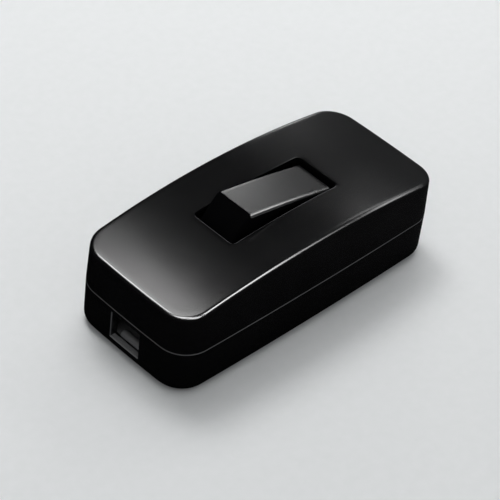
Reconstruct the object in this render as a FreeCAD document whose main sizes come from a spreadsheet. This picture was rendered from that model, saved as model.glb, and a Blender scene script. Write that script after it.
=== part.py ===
import FreeCAD, Part
import Sketcher
import math
import os

# Two-pole inline cord switch in millimetres. The origin is the middle of the underside, X runs
# along the cord and Z points up. The moving pieces rest with the +X end of the rocker pressed.

doc = FreeCAD.newDocument("inline_cord_switch")
sheet = doc.addObject("Spreadsheet::Sheet", "dims")

VALUES = (
    ("case_len", "80", "case, length over the ends"),
    ("case_wid", "35.6", "case, width over the sides"),
    ("corner_rad", "7", "case, plan corner radius"),
    ("side_bow", "0.55", "case, outward bow of each long side"),
    ("end_bow", "0.45", "case, outward bow of each end"),
    ("split_z", "11.4", "case, height of the parting line"),
    ("wall", "2", "base, wall thickness"),
    ("floor_z", "2.2", "base, floor thickness"),
    ("foot_rad", "2.4", "base, round along the bottom edge"),
    ("cover_wall", "2.6", "cover, wall thickness"),
    ("roof", "2", "cover, roof thickness"),
    ("arch_top", "24.4", "cover, height at mid length"),
    ("arch_end", "20.9", "cover, height of the arch at the ends"),
    ("cover_rad", "1.9", "cover, round along the top edge"),
    ("draft", "2.2", "cover, draft of the walls in degrees"),
    ("seam_ease", "0.2", "parting line, chamfer along each half"),
    ("lip_deep", "1.2", "cover, depth of the locating lip below the parting line"),
    ("lip_thick", "0.9", "cover, thickness of the locating lip"),
    ("lip_gap", "0.1", "clearance between the lip and the base wall"),
    ("win_wid", "8.7", "cord window, width"),
    ("sill_z", "3.2", "cord window, height of the sill"),
    ("win_top", "10.05", "cord window, height of the head"),
    ("win_ease", "0.2", "cord window, chamfer around its outside"),
    ("grip_in", "2.9", "cord grip rib, distance in from the end"),
    ("grip_rad", "1.1", "cord grip rib, radius"),
    ("grip_len", "6.4", "cord grip rib, length across the cord"),
    ("channel_in", "13", "cord channel floor, reach in from the end"),
    ("channel_wid", "12", "cord channel floor, width"),
    ("slot_len", "32.2", "rocker opening, length"),
    ("slot_wid", "12.3", "rocker opening, width"),
    ("slot_rad", "1.1", "rocker opening, corner radius"),
    ("slot_ease", "0.2", "rocker opening, chamfer along its upper edge"),
    ("cheek", "1.6", "bearing cheek, thickness"),
    ("cheek_half", "14.4", "bearing cheek, half length"),
    ("cheek_low", "18.6", "bearing cheek, lower edge at the ends"),
    ("lug_half", "4", "bearing lug, half length"),
    ("lug_low", "10.4", "bearing lug, lower edge"),
    ("tilt", "11.7", "rocker, tilt each way in degrees"),
    ("pivot_z", "13.7", "rocker, height of the pivot axis"),
    ("rocker_len", "25.6", "rocker, length of the top"),
    ("rocker_wid", "10.4", "rocker, width"),
    ("rocker_high", "12.1", "rocker, top edge above the pivot"),
    ("rocker_rise", "0.3", "rocker, rise of the curved top"),
    ("rocker_wall", "1.3", "rocker, side wall thickness"),
    ("rocker_top", "1.8", "rocker, thickness under the top"),
    ("rocker_skin", "1.6", "rocker, thickness of the end skirts"),
    ("rocker_rad", "0.7", "rocker, round along the long top edges"),
    ("rocker_ease", "0.6", "rocker, round along the edges of the skirts"),
    ("skirt_low", "4", "rocker, lower edge of the skirts above the pivot"),
    ("hub_half", "3.4", "rocker hub, half length"),
    ("hub_low", "3.2", "rocker hub, reach below the pivot"),
    ("pin_dia", "3", "trunnion, diameter"),
    ("pin_gap", "0.05", "trunnion, radial clearance in the cheek"),
    ("pin_set", "0.1", "trunnion, end set back from the outside of the cheek"),
    ("collar_dia", "5.6", "trunnion collar, diameter"),
    ("collar_gap", "0.15", "trunnion collar, side clearance"),
    ("pole_y", "2.8", "pole, distance from the middle plane"),
    ("bore_top", "9", "plunger bore, end above the pivot"),
    ("plunger_dia", "3", "plunger, diameter"),
    ("plunger_gap", "0.05", "plunger, radial clearance in the bore"),
    ("plunger_seat", "1.2", "plunger, spring seat above the pivot"),
    ("plunger_tip", "5.1", "plunger, centre of the round nose below the pivot"),
    ("nose_rad", "1.2", "plunger, nose radius"),
    ("stub_dia", "1.5", "plunger, spring stub diameter"),
    ("stub_len", "1.8", "plunger, spring stub length"),
    ("coil_out", "2.7", "plunger spring, outer diameter"),
    ("coil_in", "1.9", "plunger spring, inner diameter"),
    ("fulcrum_z", "6.6", "blade, height of the rocking axis"),
    ("fulcrum_gap", "0.05", "clearance of the knuckle in its saddle"),
    ("saddle_half", "1.1", "saddle, half thickness"),
    ("knuckle_dia", "1.4", "blade, diameter of the knuckle under its bend"),
    ("vee", "12", "blade, rise of each arm in degrees"),
    ("swing", "10", "blade, swing each way in degrees"),
    ("arm", "8", "blade, length of each arm"),
    ("blade_thick", "0.7", "blade, thickness"),
    ("blade_wid", "3.6", "blade, width"),
    ("tip_at", "6.4", "contact rivet, distance along the arm"),
    ("tip_dia", "2.4", "contact rivet, head diameter"),
    ("tip_high", "0.6", "contact rivet, head height"),
    ("tip_shank", "1.2", "contact rivet, shank diameter"),
    ("tip_hole", "1.7", "contact rivet, hole in the blade"),
    ("tip_post", "1.3", "contact rivet, hole in the post"),
    ("tip_gap", "0.1", "clearance between closed contacts"),
    ("strip", "0.8", "terminal strip, thickness"),
    ("strip_wid", "3", "terminal strip, width"),
    ("strip_end", "1.4", "pivot strip, end past the fulcrum"),
    ("neck_in", "2.5", "terminal strip, crossing before the block"),
    ("block_in", "18", "terminal block, distance in from the end"),
    ("block_y", "8.6", "terminal block, distance from the middle plane"),
    ("block_len", "7", "terminal block, length"),
    ("block_wid", "6.4", "terminal block, width"),
    ("block_top", "9.4", "terminal block, height of the top"),
    ("wire_dia", "3.4", "terminal block, wire hole"),
    ("wire_z", "5.4", "terminal block, height of the wire hole"),
    ("clamp_in", "9", "cord clamp, distance in from the end"),
    ("clamp_y", "7.4", "cord clamp, screw distance from the middle plane"),
    ("clamp_z", "8.4", "cord clamp, underside of the ends"),
    ("clamp_thick", "2.8", "cord clamp, thickness"),
    ("clamp_len", "5", "cord clamp, length along the cord"),
    ("clamp_wid", "20.6", "cord clamp, length across the cord"),
    ("clamp_arch", "0.9", "cord clamp, hollow for the cord"),
    ("clamp_half", "4", "cord clamp, half width of the hollow"),
    ("post_dia", "6", "clamp post, diameter"),
    ("screw_hole", "3.2", "screw clearance hole"),
    ("screw_dia", "2.6", "screw, shank diameter"),
    ("thread_gap", "0.05", "radial clearance of a screw in its pilot hole"),
    ("head_dia", "5.2", "screw, head diameter"),
    ("head_high", "1.9", "screw, head height"),
    ("clamp_bite", "7.4", "clamp screw, length under the head"),
    ("wire_bite", "3.4", "terminal screw, length under the head"),
    ("wire_head", "4.6", "terminal screw, head diameter"),
    ("slot_cut", "0.8", "screw slot, width"),
    ("slot_sink", "0.9", "screw slot, depth"),
    ("cross_len", "3", "cross recess, length"),
    ("cross_wid", "0.8", "cross recess, width"),
    ("cross_deep", "1.1", "cross recess, depth"),
    ("boss_side", "0.9", "case boss of the cover, clearance beside the cheek"),
    ("boss_out", "0.35", "case boss of the cover, clearance inside the base wall"),
    ("case_bite", "13", "case screw, length under the head"),
    ("case_seat", "3.2", "case screw, height of the head seat"),
    ("sink_dia", "6", "case screw, counterbore diameter"),
    ("base_boss", "8", "case boss of the base, diameter"),
    ("boss_top", "8", "case boss of the base, height"),
    ("boss_gap", "0.05", "clearance between the two case bosses"),
    ("pilot_len", "9", "case screw, pilot hole length"),
    ("web", "1", "pole barrier, thickness"),
    ("web_half", "14", "pole barrier, half length"),
    ("web_top", "9", "pole barrier, height"),
    ("over", "1", "overlap of joined features"),
    ("grip_x", "=case_len / 2 - grip_in", "cord grip rib from mid length"),
    ("channel_x", "=case_len / 2 - channel_in", "cord channel floor from mid length"),
    ("clamp_x", "=case_len / 2 - clamp_in", "cord clamp from mid length"),
    ("block_x", "=case_len / 2 - block_in", "terminal block from mid length"),
    ("neck_x", "=block_x - block_len / 2 - neck_in", "terminal strip crossing from mid length"),
    ("cover_boss", "=case_wid / 2 - wall - boss_out - slot_wid / 2 - cheek - boss_side", "cover boss"),
    ("case_y", "=slot_wid / 2 + cheek + boss_side + cover_boss / 2", "case screw from the middle plane"),
    ("side_rad", "=(case_len * case_len / 4 + side_bow * side_bow) / (2 * side_bow)", "bow of the sides"),
    ("end_rad", "=(case_wid * case_wid / 4 + end_bow * end_bow) / (2 * end_bow)", "bow of the ends"),
    ("arch_rise", "=arch_top - arch_end", "rise of the arch"),
    ("arch_rad", "=(case_len * case_len / 4 + arch_rise * arch_rise) / (2 * arch_rise)", "arch radius"),
    ("skirt_rad", "=sqrt(rocker_len * rocker_len / 4 + rocker_high * rocker_high)", "skirt about the pivot"),
    ("skirt_x", "=sqrt(skirt_rad * skirt_rad - skirt_low * skirt_low)", "skirt at its lower edge"),
    ("top_rad", "=(rocker_len ^ 2 / 4 + rocker_rise ^ 2) / (2 * rocker_rise)", "rocker top"),
    ("core_rad", "=skirt_rad - rocker_skin", "inside of the skirts"),
    ("core_top", "=rocker_high - rocker_top", "inside of the top"),
    ("core_x", "=sqrt(core_rad * core_rad - core_top * core_top)", "inside corner of the rocker"),
    ("core_low", "=sqrt(core_rad * core_rad - skirt_low * skirt_low)", "inside of the skirt edge"),
    ("arm_x", "=arm * cos(vee)", "blade arm, run"),
    ("arm_z", "=arm * sin(vee)", "blade arm, rise"),
    ("skin_x", "=blade_thick * sin(vee)", "blade thickness, run"),
    ("skin_z", "=blade_thick * cos(vee)", "blade thickness, rise"),
    ("apex_z", "=blade_thick / cos(vee)", "blade thickness at the bend"),
    ("eye_x", "=tip_at * cos(vee) - blade_thick / 2 * sin(vee)", "rivet hole in the blade"),
    ("open_x", "=tip_at * cos(vee + swing)", "open contact, position"),
    ("open_z", "=fulcrum_z + tip_at * sin(vee + swing)", "open contact, height"),
    ("closed_x", "=tip_at * cos(vee - swing)", "closed contact, position"),
    ("post_z", "=fulcrum_z + tip_at * sin(vee - swing) - 2 * tip_high - tip_gap", "contact post, top"),
    ("rest_z", "=fulcrum_z + tip_at * sin(vee - swing) - tip_gap", "blade rest, top"),
)


class Size:
    """A length or angle kept together with the sheet expression that drives it."""

    def __init__(self, number, text):
        self.number = number
        self.text = text

    def join(self, other, sign, number):
        text = other.text if isinstance(other, Size) else repr(other)
        return Size(number, "(%s %s %s)" % (self.text, sign, text))

    def __add__(self, other):
        return self.join(other, "+", self.number + value(other))

    def __sub__(self, other):
        return self.join(other, "-", self.number - value(other))

    def __mul__(self, other):
        return self.join(other, "*", self.number * value(other))

    def __truediv__(self, other):
        return self.join(other, "/", self.number / value(other))

    def __neg__(self):
        return Size(-self.number, "(0 - %s)" % self.text)


def value(item):
    return item.number if isinstance(item, Size) else float(item)


class Dims:
    """The sheet's values by name."""


for row, (alias, content, note) in enumerate(VALUES, start=1):
    sheet.set("A%d" % row, note)
    sheet.set("B%d" % row, content)
    sheet.setAlias("B%d" % row, alias)
doc.recompute()
d = Dims()
for alias, content, note in VALUES:
    setattr(d, alias, Size(float(getattr(sheet, alias)), "dims." + alias))
ZERO = Size(0.0, "0")
UP = FreeCAD.Vector(0, 0, 1)


def point(x, y):
    return FreeCAD.Vector(x.number, y.number, 0)


def body(label):
    item = doc.addObject("PartDesign::Body", label)
    item.Label = label
    return item


def sketch(owner, plane, name, offset=None):
    """A sketch on one of the body's own planes, moved along the plane's normal."""
    item = owner.newObject("Sketcher::SketchObject", owner.Name + "_" + name)
    support = [each for each in owner.Origin.OriginFeatures if each.Role == plane][0]
    item.AttachmentSupport = [(support, "")]
    item.MapMode = "FlatFace"
    if offset is not None:
        item.AttachmentOffset = FreeCAD.Placement(FreeCAD.Vector(0, 0, offset.number), FreeCAD.Rotation())
        item.setExpression("AttachmentOffset.Base.z", offset.text)
    return item


def drive(item, size, *constraint):
    """Add one dimension to a sketch and bind it to the sheet."""
    index = item.addConstraint(Sketcher.Constraint(*constraint, size.number))
    item.setExpression("Constraints[%d]" % index, size.text)


def locate(item, geo, end, x, y):
    drive(item, x, "DistanceX", -1, 1, geo, end)
    drive(item, y, "DistanceY", -1, 1, geo, end)


def circle(item, x, y, dia):
    geo = item.addGeometry(Part.Circle(point(x, y), UP, dia.number / 2))
    locate(item, geo, 3, x, y)
    drive(item, dia, "Diameter", geo)


def arc(start, finish, radius):
    """The short arc from start to finish that bulges to the left of that way."""
    chord = finish - start
    half = chord.Length / 2
    across = FreeCAD.Vector(chord.y, -chord.x, 0).normalize()
    centre = (start + finish) / 2 + across * math.sqrt(radius * radius - half * half)
    first = math.atan2(finish.y - centre.y, finish.x - centre.x)
    last = math.atan2(start.y - centre.y, start.x - centre.x)
    if last < first:
        last += 2 * math.pi
    return Part.ArcOfCircle(Part.Circle(centre, UP, radius), first, last)


def outline(item, corners, bulges=None):
    """Closed outline through driven corners. A bulge gives its edge's radius, to the left of the way."""
    bulges = bulges or {}
    count = len(corners)
    spots = [point(x, y) for x, y in corners]
    geos = []
    for index in range(count):
        start = spots[index]
        finish = spots[(index + 1) % count]
        if index in bulges:
            geos.append(item.addGeometry(arc(start, finish, bulges[index].number)))
        else:
            geos.append(item.addGeometry(Part.LineSegment(start, finish)))
    for index in range(count):
        after = (index + 1) % count
        leave = 1 if index in bulges else 2
        enter = 2 if after in bulges else 1
        item.addConstraint(Sketcher.Constraint("Coincident", geos[index], leave, geos[after], enter))
        locate(item, geos[after], enter, *corners[after])
    for index, radius in bulges.items():
        drive(item, radius, "Radius", geos[index])


def rectangle(item, left, right, low, high):
    outline(item, [(left, low), (right, low), (right, high), (left, high)])


def case_plan(item, inset):
    """The case outline set in by one distance: four bowed edges and four tangent corners."""
    side = d.side_rad - inset
    end = d.end_rad - inset
    corner = d.corner_rad - inset
    side_mid = d.case_wid / 2 - d.side_rad
    end_mid = d.case_len / 2 - d.end_rad
    # The corner's centre is where the two bows, each set in by the corner radius, cross.
    reach_side = side.number - corner.number
    reach_end = end.number - corner.number
    from_end = FreeCAD.Vector(end_mid.number, 0, 0)
    to_side = FreeCAD.Vector(0, side_mid.number, 0) - from_end
    along = (reach_end ** 2 - reach_side ** 2 + to_side.Length ** 2) / (2 * to_side.Length)
    off = math.sqrt(reach_end ** 2 - along ** 2)
    way = FreeCAD.Vector(to_side).normalize()
    centre = from_end + way * along + FreeCAD.Vector(-way.y, way.x, 0) * -off
    if centre.x < 0 or centre.y < 0:
        centre = from_end + way * along + FreeCAD.Vector(-way.y, way.x, 0) * off
    lean_side = math.atan2(centre.y - side_mid.number, centre.x)
    lean_end = math.atan2(centre.y, centre.x - end_mid.number)
    geos = []
    for turn in range(4):
        flip_x = 1 if turn in (0, 3) else -1
        flip_y = 1 if turn in (0, 1) else -1
        if turn % 2 == 0:
            middle = FreeCAD.Vector(flip_x * end_mid.number, 0, 0)
            radius, spread, facing = end.number, lean_end, 0 if turn == 0 else math.pi
            first, last = lean_end, lean_side
        else:
            middle = FreeCAD.Vector(0, flip_y * side_mid.number, 0)
            radius, spread = side.number, math.pi / 2 - lean_side
            facing = math.pi / 2 if turn == 1 else 3 * math.pi / 2
            first, last = math.pi - lean_side, math.pi - lean_end
        bow = Part.ArcOfCircle(Part.Circle(middle, UP, radius), facing - spread, facing + spread)
        geos.append(item.addGeometry(bow))
        spin = 0 if turn < 2 else math.pi
        spot = FreeCAD.Vector(flip_x * centre.x, flip_y * centre.y, 0)
        bend = Part.ArcOfCircle(Part.Circle(spot, UP, corner.number), first + spin, last + spin)
        geos.append(item.addGeometry(bend))
    for index, geo in enumerate(geos):
        after = geos[(index + 1) % 8]
        item.addConstraint(Sketcher.Constraint("Tangent", geo, 2, after, 1))
    for index, (x, y, radius) in enumerate(
        ((end_mid, ZERO, end), (ZERO, side_mid, side), (-end_mid, ZERO, end), (ZERO, -side_mid, side))
    ):
        locate(item, geos[2 * index], 3, x, y)
        drive(item, radius, "Radius", geos[2 * index])
        drive(item, corner, "Radius", geos[2 * index + 1])


def extrude(kind, owner, profile, length, both=False, back=False):
    """Pad or pocket a sketch by a driven length."""
    item = owner.newObject("PartDesign::" + kind, profile.Name + "_" + kind.lower())
    item.Profile = profile
    item.setExpression("Length", length.text)
    item.SideType = "Symmetric" if both else "One side"
    item.Reversed = back
    doc.recompute()
    return item


def pad(owner, profile, length, both=False, back=False):
    return extrude("Pad", owner, profile, length, both, back)


def pocket(owner, profile, length, both=False, back=False):
    before = owner.Shape.Volume
    item = extrude("Pocket", owner, profile, length, both, back)
    if not owner.Shape.Volume < before:
        raise RuntimeError("no material removed by " + item.Name)
    return item


def revolve(owner, profile):
    """Turn a profile drawn in the XZ plane about the vertical axis."""
    item = owner.newObject("PartDesign::Revolution", profile.Name + "_turn")
    item.Profile = profile
    item.ReferenceAxis = (profile, ["V_Axis"])
    item.Angle = 360
    doc.recompute()
    return item


def edge_work(kind, owner, name, size, wanted):
    """Round or chamfer the edges of the body whose middle point passes the test."""
    base = owner.Tip
    names = []
    for index, edge in enumerate(base.Shape.Edges, start=1):
        span = edge.ParameterRange
        middle = edge.valueAt((span[0] + span[1]) / 2)
        if wanted(edge, middle):
            names.append("Edge%d" % index)
    item = owner.newObject("PartDesign::" + kind, owner.Name + "_" + name)
    item.Base = (base, names)
    item.setExpression("Radius" if kind == "Fillet" else "Size", size.text)
    doc.recompute()
    return item


def fillet(owner, name, radius, wanted):
    return edge_work("Fillet", owner, name, radius, wanted)


def chamfer(owner, name, size, wanted):
    return edge_work("Chamfer", owner, name, size, wanted)


def place(item, x, y, z, turn=None):
    """Put a body in the assembly, turned about the Y axis."""
    angle = turn.number if turn is not None else 0.0
    item.Placement = FreeCAD.Placement(
        FreeCAD.Vector(x.number, y.number, z.number), FreeCAD.Rotation(FreeCAD.Vector(0, 1, 0), angle)
    )
    item.setExpression("Placement.Base.x", x.text)
    item.setExpression("Placement.Base.y", y.text)
    item.setExpression("Placement.Base.z", z.text)
    if turn is not None:
        item.setExpression("Placement.Rotation.Angle", turn.text + " * 1 deg")


def mirror(source, label, x, y):
    """The same piece reflected across the middle plane with the given normal."""
    item = doc.addObject("Part::Mirroring", label)
    item.Label = label
    item.Source = source
    item.Normal = FreeCAD.Vector(x, y, 0)
    return item


def group(label, members):
    item = doc.addObject("Part::Compound", label)
    item.Label = label
    item.Links = members
    return item


pieces = []

# Base: an open tray with a cord window in each end wall and a round along its bottom edge.
base = body("base_shell")
plan = sketch(base, "XY_Plane", "plan")
case_plan(plan, ZERO)
pad(base, plan, d.split_z)
fillet(base, "foot", d.foot_rad, lambda edge, middle: middle.z < 0.001)
chamfer(base, "seam", d.seam_ease, lambda edge, middle: middle.z > d.split_z.number - 0.001)
tray = sketch(base, "XY_Plane", "tray", d.split_z)
case_plan(tray, d.wall)
pocket(base, tray, d.split_z - d.floor_z)
windows = sketch(base, "YZ_Plane", "windows")
rectangle(windows, -(d.win_wid / 2), d.win_wid / 2, d.sill_z, d.win_top)
pocket(base, windows, d.case_len + d.over, both=True)
window_x = d.case_len.number / 2 - d.end_bow.number
window_y = d.win_wid.number / 2 + 0.001
seam_low = d.split_z.number - d.seam_ease.number - 0.001
chamfer(
    base,
    "windows",
    d.win_ease,
    lambda edge, middle: abs(middle.x) > window_x
    and abs(middle.y) < window_y
    and d.foot_rad.number < middle.z < seam_low,
)

# A raised floor level with each sill carries a half-round rib that bites the cord.
channel = sketch(base, "XY_Plane", "channel", d.floor_z - d.over)
channel_out = d.case_len / 2 - d.over
half_channel = d.channel_wid / 2
rectangle(channel, d.channel_x, channel_out, -half_channel, half_channel)
rectangle(channel, -channel_out, -d.channel_x, -half_channel, half_channel)
pad(base, channel, d.sill_z - d.floor_z + d.over)
grips = sketch(base, "XZ_Plane", "grips")
circle(grips, d.grip_x, d.sill_z, d.grip_rad * 2)
circle(grips, -d.grip_x, d.sill_z, d.grip_rad * 2)
pad(base, grips, d.grip_len, both=True)

# Posts for the cord clamps, bosses for the case screws and the barrier between the poles.
posts = sketch(base, "XY_Plane", "posts", d.floor_z - d.over)
for x in (d.clamp_x, -d.clamp_x):
    for y in (d.clamp_y, -d.clamp_y):
        circle(posts, x, y, d.post_dia)
pad(base, posts, d.clamp_z - d.floor_z + d.over)
bosses = sketch(base, "XY_Plane", "bosses", d.floor_z - d.over)
circle(bosses, ZERO, d.case_y, d.base_boss)
circle(bosses, ZERO, -d.case_y, d.base_boss)
pad(base, bosses, d.boss_top - d.floor_z + d.over)
barrier = sketch(base, "XY_Plane", "barrier", d.floor_z - d.over)
rectangle(barrier, -d.web_half, d.web_half, -(d.web / 2), d.web / 2)
pad(base, barrier, d.web_top - d.floor_z + d.over)
pilots = sketch(base, "XY_Plane", "pilots", d.clamp_z)
for x in (d.clamp_x, -d.clamp_x):
    for y in (d.clamp_y, -d.clamp_y):
        circle(pilots, x, y, d.screw_dia + d.thread_gap * 2)
pocket(base, pilots, d.clamp_z - d.floor_z)
through = sketch(base, "XY_Plane", "through")
circle(through, ZERO, d.case_y, d.screw_hole)
circle(through, ZERO, -d.case_y, d.screw_hole)
pocket(base, through, d.boss_top, back=True)
sinks = sketch(base, "XY_Plane", "sinks")
circle(sinks, ZERO, d.case_y, d.sink_dia)
circle(sinks, ZERO, -d.case_y, d.sink_dia)
pocket(base, sinks, d.case_seat, back=True)
pieces.append(base)

# Cover: the same outline drawn in by its draft, cut to an arch and rounded along the top edge.
cavity = body("cover_cavity")
cover = body("cover_shell")
for owner, inset, radius in ((cavity, d.cover_wall, d.arch_rad - d.roof), (cover, ZERO, d.arch_rad)):
    plan = sketch(owner, "XY_Plane", "plan", d.split_z)
    case_plan(plan, inset)
    rise = pad(owner, plan, d.arch_top - d.split_z)
    if owner is cover:
        rise.setExpression("TaperAngle", "(0 - dims.draft) * 1 deg")
        doc.recompute()
    bow = sketch(owner, "XZ_Plane", "arch")
    crest = d.arch_top - d.arch_rad
    far = d.case_len / 2 + d.over
    edge_z = crest + Size(
        math.sqrt(radius.number ** 2 - far.number ** 2),
        "sqrt(%s * %s - %s * %s)" % (radius.text, radius.text, far.text, far.text),
    )
    above = d.arch_top + d.over
    outline(bow, [(-far, edge_z), (far, edge_z), (far, above), (-far, above)], {0: radius})
    pocket(owner, bow, d.case_wid + d.over, both=True)
chamfer(cover, "seam", d.seam_ease, lambda edge, middle: middle.z < d.split_z.number + 0.001)
fillet(cover, "brow", d.cover_rad, lambda edge, middle: middle.z > d.arch_end.number - 1.5)
hollow = cover.newObject("PartDesign::Boolean", "cover_hollow")
hollow.setObjects([cavity])
hollow.Type = "Cut"
doc.recompute()

# The locating lip goes down inside the base wall.
lip = sketch(cover, "XY_Plane", "lip", d.split_z - d.lip_deep)
case_plan(lip, d.wall + d.lip_gap)
case_plan(lip, d.wall + d.lip_gap + d.lip_thick)
pad(cover, lip, d.lip_deep + d.over)
bosses = sketch(cover, "XY_Plane", "bosses", d.boss_top + d.boss_gap)
circle(bosses, ZERO, d.case_y, d.cover_boss)
circle(bosses, ZERO, -d.case_y, d.cover_boss)
pad(cover, bosses, d.arch_top - d.roof + d.over / 2 - d.boss_top - d.boss_gap)
pilots = sketch(cover, "XY_Plane", "pilots", d.boss_top + d.boss_gap)
circle(pilots, ZERO, d.case_y, d.screw_dia + d.thread_gap * 2)
circle(pilots, ZERO, -d.case_y, d.screw_dia + d.thread_gap * 2)
pocket(cover, pilots, d.pilot_len, back=True)

# Two cheeks hang beside the rocker opening and carry the trunnions in round holes.
cheeks = sketch(cover, "XZ_Plane", "cheeks")
half_slot = d.slot_len / 2
cheek_top = d.arch_top - d.roof + d.over / 2
outline(
    cheeks,
    [
        (-d.cheek_half, cheek_top),
        (-d.cheek_half, d.cheek_low),
        (-d.lug_half, d.pivot_z + d.over),
        (-d.lug_half, d.lug_low),
        (d.lug_half, d.lug_low),
        (d.lug_half, d.pivot_z + d.over),
        (d.cheek_half, d.cheek_low),
        (d.cheek_half, cheek_top),
    ],
)
pad(cover, cheeks, d.slot_wid + d.cheek * 2, both=True)
slot = sketch(cover, "XY_Plane", "slot", d.lug_low - d.over)
long_x = half_slot - d.slot_rad
half_wide = d.slot_wid / 2
wide_y = half_wide - d.slot_rad
outline(
    slot,
    [
        (half_slot, wide_y),
        (half_slot, -wide_y),
        (long_x, -half_wide),
        (-long_x, -half_wide),
        (-half_slot, -wide_y),
        (-half_slot, wide_y),
        (-long_x, half_wide),
        (long_x, half_wide),
    ],
    {1: d.slot_rad, 3: d.slot_rad, 5: d.slot_rad, 7: d.slot_rad},
)
pocket(cover, slot, d.arch_top, back=True)
roof_low = d.arch_top.number - d.roof.number / 2
chamfer(
    cover,
    "slot_edge",
    d.slot_ease,
    lambda edge, middle: middle.z > roof_low
    and abs(middle.x) < half_slot.number + 0.01
    and abs(middle.y) < half_wide.number + 0.01
    and abs(edge.tangentAt(edge.FirstParameter).z) < 0.5,
)
bearings = sketch(cover, "XZ_Plane", "bearings")
circle(bearings, ZERO, d.pivot_z, d.pin_dia + d.pin_gap * 2)
pocket(cover, bearings, d.slot_wid + d.cheek * 2 + d.over, both=True)
pieces.append(cover)

# Rocker: a curved top with end skirts struck about the pivot, so the gap stays even as it tilts.
rocker = body("rocker")
shell = sketch(rocker, "XZ_Plane", "shell")
half_top = d.rocker_len / 2
outline(
    shell,
    [
        (-half_top, d.rocker_high),
        (half_top, d.rocker_high),
        (d.skirt_x, d.skirt_low),
        (-d.skirt_x, d.skirt_low),
    ],
    {0: d.top_rad, 1: d.skirt_rad, 3: d.skirt_rad},
)
pad(rocker, shell, d.rocker_wid, both=True)
fillet(
    rocker,
    "long_edges",
    d.rocker_rad,
    lambda edge, middle: middle.z > d.rocker_high.number and abs(middle.x) < 0.1,
)
fillet(
    rocker,
    "skirt_edges",
    d.rocker_ease,
    lambda edge, middle: abs(middle.x) > half_top.number and abs(middle.y) > d.rocker_wid.number / 2 - 0.01,
)
hollow = sketch(rocker, "XZ_Plane", "hollow")
outline(
    hollow,
    [
        (-d.core_x, d.core_top),
        (d.core_x, d.core_top),
        (d.core_low, d.skirt_low),
        (-d.core_low, d.skirt_low),
    ],
    {1: d.core_rad, 3: d.core_rad},
)
pocket(rocker, hollow, d.rocker_wid - d.rocker_wall * 2, both=True)
hub = sketch(rocker, "XZ_Plane", "hub")
rectangle(hub, -d.hub_half, d.hub_half, -d.hub_low, d.core_top + d.over)
pad(rocker, hub, d.rocker_wid, both=True)
collars = sketch(rocker, "XZ_Plane", "collars")
circle(collars, ZERO, ZERO, d.collar_dia)
pad(rocker, collars, d.slot_wid - d.collar_gap * 2, both=True)
pins = sketch(rocker, "XZ_Plane", "pins")
circle(pins, ZERO, ZERO, d.pin_dia)
pad(rocker, pins, d.slot_wid + d.cheek * 2 - d.pin_set * 2, both=True)
bores = sketch(rocker, "XY_Plane", "bores", -d.hub_low)
circle(bores, ZERO, d.pole_y, d.plunger_dia + d.plunger_gap * 2)
circle(bores, ZERO, -d.pole_y, d.plunger_dia + d.plunger_gap * 2)
pocket(rocker, bores, d.hub_low + d.bore_top, back=True)
place(rocker, ZERO, ZERO, d.pivot_z, d.tilt)
pieces.append(rocker)

# Plunger: a round-nosed pin that slides in the rocker's bore, with a stub inside its spring.
plunger = body("plunger_left")
turned = sketch(plunger, "XZ_Plane", "profile")
outline(
    turned,
    [
        (ZERO, d.plunger_seat + d.stub_len),
        (d.stub_dia / 2, d.plunger_seat + d.stub_len),
        (d.stub_dia / 2, d.plunger_seat),
        (d.plunger_dia / 2, d.plunger_seat),
        (d.plunger_dia / 2, -d.plunger_tip + d.nose_rad),
        (d.nose_rad, -d.plunger_tip),
        (ZERO, -d.plunger_tip - d.nose_rad),
    ],
    {5: d.nose_rad},
)
revolve(plunger, turned)
place(plunger, ZERO, d.pole_y, d.pivot_z, d.tilt)
pieces.append(plunger)
pieces.append(mirror(plunger, "plunger_right", 0, 1))

# Plunger spring: the sleeve that the coil fills, from the plunger's seat to the end of the bore.
coil = body("plunger_spring_left")
turned = sketch(coil, "XZ_Plane", "profile")
rectangle(turned, d.coil_in / 2, d.coil_out / 2, d.plunger_seat, d.bore_top)
revolve(coil, turned)
place(coil, ZERO, d.pole_y, d.pivot_z, d.tilt)
pieces.append(coil)
pieces.append(mirror(coil, "plunger_spring_right", 0, 1))

# Contact blade: a strip bent to a shallow vee, rocking on a round knuckle under its bend.
blade = body("seesaw_left")
bent = sketch(blade, "XZ_Plane", "profile")
outline(
    bent,
    [
        (ZERO, ZERO),
        (d.arm_x, d.arm_z),
        (d.arm_x - d.skin_x, d.arm_z + d.skin_z),
        (ZERO, d.apex_z),
        (d.skin_x - d.arm_x, d.arm_z + d.skin_z),
        (-d.arm_x, d.arm_z),
    ],
)
pad(blade, bent, d.blade_wid, both=True)
knuckle = sketch(blade, "XZ_Plane", "knuckle")
circle(knuckle, ZERO, ZERO, d.knuckle_dia)
pad(blade, knuckle, d.blade_wid, both=True)
eye = sketch(blade, "XY_Plane", "eye")
circle(eye, d.eye_x, ZERO, d.tip_hole)
pocket(blade, eye, d.arm, back=True)
place(blade, ZERO, d.pole_y, d.fulcrum_z, -d.swing)
pieces.append(blade)
pieces.append(mirror(blade, "seesaw_right", 0, 1))

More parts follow.
